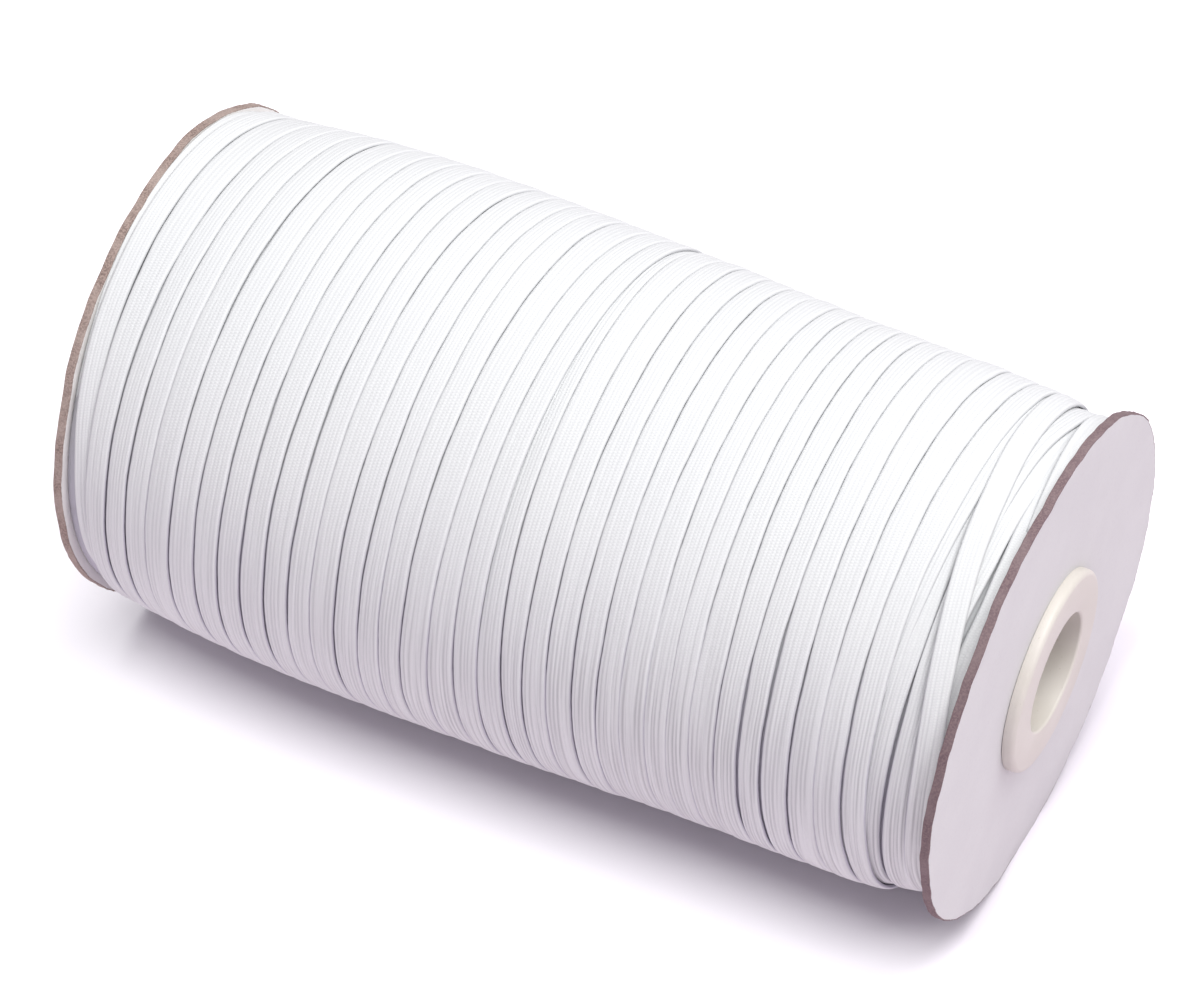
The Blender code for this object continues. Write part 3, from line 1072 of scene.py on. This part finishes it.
def bevel_rings(piece, corners, tolerance=0.02 * MM):
    """Round the ring edges at rows of (x, radius, width, segments)."""
    for x, radius, width, segments in corners:
        only(piece)
        select_none("EDGE")
        points = read_points(piece)
        reach = np.hypot(points[:, 1], points[:, 2] - AXIS_HEIGHT)
        on_ring = (np.abs(points[:, 0] - x) < tolerance) & (np.abs(reach - radius) < tolerance)
        for edge in piece.data.edges:
            edge.select = bool(on_ring[edge.vertices[0]] and on_ring[edge.vertices[1]])
        bpy.ops.object.mode_set(mode="EDIT")
        bpy.ops.mesh.bevel(offset=width, segments=segments, affect="EDGES")
        bpy.ops.object.mode_set(mode="OBJECT")


# %% Draw the cards
CARD_STEPS = 360
CARD_RINGS = (30, 38, 45, 50, 52.5, 54.2, 54.5)         # radius in mm
RIM_BEVEL = 0.16 * MM


def draw_flat_card(side, node):
    hole, rim = HOLE_RADIUS, DISC_RADIUS
    outer, inner = side * OUTER_FACE_X, side * INNER_FACE_X
    middle = [radius * MM for radius in CARD_RINGS]
    rings = [(outer, radius) for radius in (hole, *middle, rim)]
    rings += [(outer + (inner - outer) * share, rim) for share in (0.25, 0.5, 0.75)]
    rings += [(inner, radius) for radius in (rim, *reversed(middle), hole)]
    piece = draw_rings(node.replace("disc", "card"), rings, CARD_STEPS)
    bevel_rings(piece, [(outer, rim, RIM_BEVEL, 2), (inner, rim, RIM_BEVEL, 2)])
    return piece


# %% Shape the cards
RIM_REACH = 3 * MM
RIM_INSET = 0.15 * MM
RIM_RAGGED = 0.05 * MM
TORN_REACH = 0.45 * MM
RIM_WAVES = ((3, 0.10), (7, 0.12), (12, 0.08), (23, 0.06), (41, 0.05), (67, 0.04))
REST_Z = 0.02 * MM


def shape_card(piece, side, seed):
    """Wave and roughen the rim, lean the card, and store what its material asks for."""
    points = read_points(piece)
    inner = np.abs(points[:, 0]) < (INNER_FACE_X + OUTER_FACE_X) / 2
    y, z = points[:, 1], points[:, 2] - AXIS_HEIGHT
    radius, angle = np.hypot(y, z), np.arctan2(z, y)
    cut_end = DISC_RADIUS - RIM_BEVEL * 0.4
    at_rim = ease_between(radius, DISC_RADIUS - RIM_REACH, DISC_RADIUS)
    cut = ease_between(radius, DISC_RADIUS - RIM_BEVEL * 1.3, cut_end)
    rough = np.random.default_rng(seed).normal(0, 1, len(points)) * RIM_RAGGED * cut
    outwards = wave(angle, RIM_WAVES, seed) * 0.7 - RIM_INSET
    sideways = wave(angle, RIM_WAVES, seed + 1) * 0.8
    scale = (radius + outwards * at_rim + rough) / radius
    x = points[:, 0] + lean_at(side, y, z) + sideways * at_rim + rough * 0.5
    write_points(piece, np.column_stack([x, y * scale, np.maximum(AXIS_HEIGHT + z * scale, REST_Z)]))
    write_attribute(piece, "cut_edge", "FLOAT", ease_between(radius, DISC_RADIUS - TORN_REACH, cut_end))
    write_attribute(piece, "inner_face", "FLOAT", inner)
    write_attribute(piece, "dark_board", "FLOAT", np.full(len(points), float(side == RIGHT)))
    only(piece)
    bpy.ops.object.shade_smooth_by_angle(angle=math.radians(40))


for side, node, seed in ((LEFT, "disc_left", 21), (RIGHT, "disc_right", 34)):
    drawn = draw_flat_card(side, node)
    shape_card(drawn, side, seed)
    finish_piece(drawn, "disc_card", card, node)

# %% [markdown]
# ## The hubs
#
# A moulded plastic hub is pressed into each card. Outside it shows as a flat collar with a round
# edge, inside as a sleeve that the spindle passes through. Its rings are drawn like the card's,
# and the collar's edge and the mouth of the bore are rounded with bevels.


# %% Build the plastic's material
def build_plastic_material():
    material, tree, shader = new_material("cream_plastic", 0.42)
    grain = use_grain(tree, 1200.0, 55.0)
    patch = mask_between(tree, grain["Patches"], 0.35, 0.65)
    speck = mask_between(tree, grain["Fine"], 0.66, 0.74)
    colour = blend_colours(tree, patch, (0.638, 0.605, 0.55), (0.678, 0.645, 0.598))
    colour = tint(tree, colour, (0.50, 0.455, 0.39), speck, 0.5)
    tree.links.new(colour, shader.inputs["Base Color"])
    rough = sum_node(tree, "MULTIPLY_ADD", grain["Patches"], 0.25, 0.32)
    tree.links.new(rough, shader.inputs["Roughness"])
    add_bump(tree, shader, grain["Height"], 0.3, 0.00005)
    return material


plastic = build_plastic_material()

# %% Draw the hubs
HUB_STEPS = 160
COLLAR_ROUND = 1.15 * MM
MOUTH_ROUND = 0.6 * MM
BACK_ROUND = 0.06 * MM
SLEEVE_ROUND = 0.4 * MM
COLLAR_GAP = 0.02 * MM
SLEEVE_GAP = 0.3 * MM


def draw_hub(side, node):
    points, radius = node_cloud(node)
    face, sleeve_end = np.abs(points[:, 0]).max(), np.abs(points[:, 0]).min()
    bore, collar = radius.min(), radius.max()
    back = OUTER_FACE_X + COLLAR_GAP
    sleeve = HOLE_RADIUS - SLEEVE_GAP
    rows = [(face, bore), (face, (bore + collar) / 2), (face, collar), (back, collar)]
    rows += [(back, sleeve), (sleeve_end, sleeve), (sleeve_end, bore)]
    piece = draw_rings(node + "_moulding", [(side * x, radius) for x, radius in rows], HUB_STEPS)
    corners = [(side * face, collar, COLLAR_ROUND, 5), (side * face, bore, MOUTH_ROUND, 6)]
    corners += [(side * back, collar, BACK_ROUND, 2), (side * sleeve_end, bore, SLEEVE_ROUND, 2)]
    bevel_rings(piece, corners)
    only(piece)
    bpy.ops.object.shade_smooth_by_angle(angle=math.radians(35))
    return piece


for side, node in ((LEFT, "hub_left"), (RIGHT, "hub_right")):
    finish_piece(draw_hub(side, node), "hub_plastic", plastic, node)

# %% [markdown]
# ## The tube
#
# The tube that carries the winding shows only deep in the bore, past the hubs' sleeves. Its shape
# in the model is right, so it stays, and only gets the look of spiral-wound grey-brown card.


# %% Give the tube its card
def build_tube_material():
    material, tree, shader = new_material("wound_tube_card", 0.85)
    grain = use_grain(tree, 1300.0, 120.0)
    patch = mask_between(tree, grain["Patches"], 0.5, 0.7)
    colour = blend_colours(tree, grain["Fine"], (0.30, 0.23, 0.19), (0.50, 0.42, 0.36))
    colour = blend_colours(tree, patch, colour, (0.38, 0.31, 0.27))
    tree.links.new(colour, shader.inputs["Base Color"])
    add_bump(tree, shader, grain["Height"], 0.5, 0.0001)
    return material


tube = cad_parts["core_tube"]
tube.data.materials.clear()
tube.data.materials.append(build_tube_material())

# %% [markdown]
# ## The floor
#
# The roll lies on a plain white studio floor. It is not part of the object. It looks white to the
# camera but throws back less light on the roll than white paper would, and that light is a little
# mauve, as under the real roll. The floor's own soft box is linked to it alone, and the box at the
# left end to all but it.

# %% Lay the floor
FLOOR_SIZE = 6.0
FLOOR_SEEN = (0.76, 0.72, 0.785)
FLOOR_THROWN = (0.54, 0.465, 0.535)

bpy.ops.object.select_all(action="DESELECT")
bpy.ops.mesh.primitive_plane_add(size=FLOOR_SIZE)
floor = bpy.context.object
floor.name = "studio_floor"
white, tree, shader = new_material("studio_white", 0.9)
seen = tree.nodes.new("ShaderNodeLightPath").outputs["Is Camera Ray"]
tree.links.new(blend_colours(tree, seen, FLOOR_THROWN, FLOOR_SEEN), shader.inputs["Base Color"])
shader.inputs["Specular IOR Level"].default_value = 0.0
floor.data.materials.append(white)

# %% Share the light between the floor and the roll
for name, state in (("floor_box", "INCLUDE"), ("end_box", "EXCLUDE")):
    receivers = bpy.data.collections.new(name + "_receivers")
    receivers.objects.link(floor)
    receivers.collection_objects[0].light_linking.link_state = state
    boxes[name].light_linking.receiver_collection = receivers
    print(name, "to the floor:", state)

# %% [markdown]
# ## Update the scene
#
# The view layer is updated, so that every piece stands in its final place.

# %% Update the view layer
bpy.context.view_layer.update()
